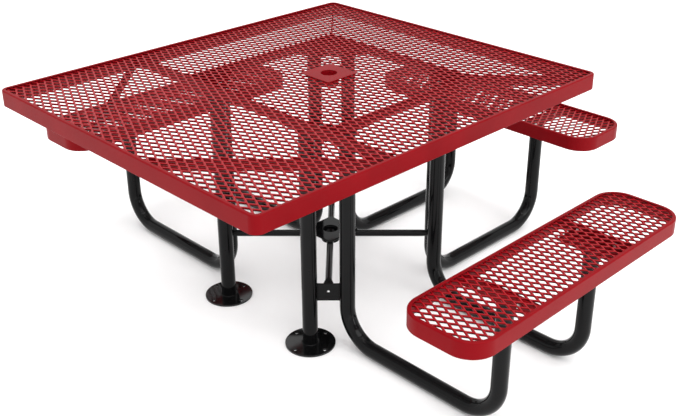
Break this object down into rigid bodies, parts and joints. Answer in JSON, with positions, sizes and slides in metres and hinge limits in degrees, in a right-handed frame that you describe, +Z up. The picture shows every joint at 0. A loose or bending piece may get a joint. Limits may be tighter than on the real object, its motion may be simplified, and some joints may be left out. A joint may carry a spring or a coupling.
{
  "type": "picnic table",
  "caption": "Square-cornered metal picnic table with coated mesh top, bench seats on bent tube legs, an open side for a wheelchair and an umbrella hole.",
  "frame": {"origin": "centre of the outline's box, on the floor; the umbrella axis is 97 mm towards -Y", "axes": "+X from the left seat to the right seat, +Y from the open side to the back seat, +Z up"},
  "size_m": [1.964, 1.77, 0.762],
  "materials": {
    "red_coating": "thick thermoplastic coating, semi-gloss, softly rounded over every edge",
    "red_mesh_coating": "thick thermoplastic coating over expanded metal, semi-gloss",
    "black_powder_coat": "smooth powder coat, semi-gloss",
    "zinc_plate": "bright zinc plating, slightly dulled"
  },
  "bodies": {
    "root": {"top_rim": "red_coating", "top_mesh": "red_mesh_coating", "umbrella_plate": "red_coating", "umbrella_collar": "red_coating", "front_bar": "red_coating", "back_bar": "red_coating", "left_bar": "red_coating", "right_bar": "red_coating", "left_outrigger": "red_coating", "right_outrigger": "red_coating", "left_overhang_brace": "red_coating", "right_overhang_brace": "red_coating", "corner_gussets": "red_coating", "right_seat_rim": "red_coating", "right_seat_mesh": "red_mesh_coating", "right_seat_bars": "red_coating", "back_seat_rim": "red_coating", "back_seat_mesh": "red_mesh_coating", "back_seat_bars": "red_coating", "left_seat_rim": "red_coating", "left_seat_mesh": "red_mesh_coating", "left_seat_bars": "red_coating", "right_seat_tube_front": "black_powder_coat", "right_seat_tube_back": "black_powder_coat", "back_seat_tube_left": "black_powder_coat", "back_seat_tube_right": "black_powder_coat", "left_seat_tube_front": "black_powder_coat", "left_seat_tube_back": "black_powder_coat", "front_leg_left": "black_powder_coat", "front_leg_right": "black_powder_coat", "floor_flange_left": "black_powder_coat", "floor_flange_right": "black_powder_coat", "tie_plate_front_right": "black_powder_coat", "tie_plate_back_right": "black_powder_coat", "tie_plate_back_left": "black_powder_coat", "tie_plate_front_left": "black_powder_coat", "brace_front_right": "black_powder_coat", "brace_back_right": "black_powder_coat", "brace_back_left": "black_powder_coat", "brace_front_left": "black_powder_coat", "socket_plate": "black_powder_coat", "socket_collar": "black_powder_coat", "head_plate_front_right": "black_powder_coat", "head_plate_back_right": "black_powder_coat", "head_plate_back_left": "black_powder_coat", "head_plate_front_left": "black_powder_coat", "right_seat_bracket_front": "red_coating", "right_seat_bracket_back": "red_coating", "back_seat_bracket_left": "red_coating", "back_seat_bracket_right": "red_coating", "left_seat_bracket_front": "red_coating", "left_seat_bracket_back": "red_coating", "top_bolts": "zinc_plate", "top_nuts": "zinc_plate", "seat_bolts": "zinc_plate", "seat_nuts": "zinc_plate"}
  },
  "joints": []
}
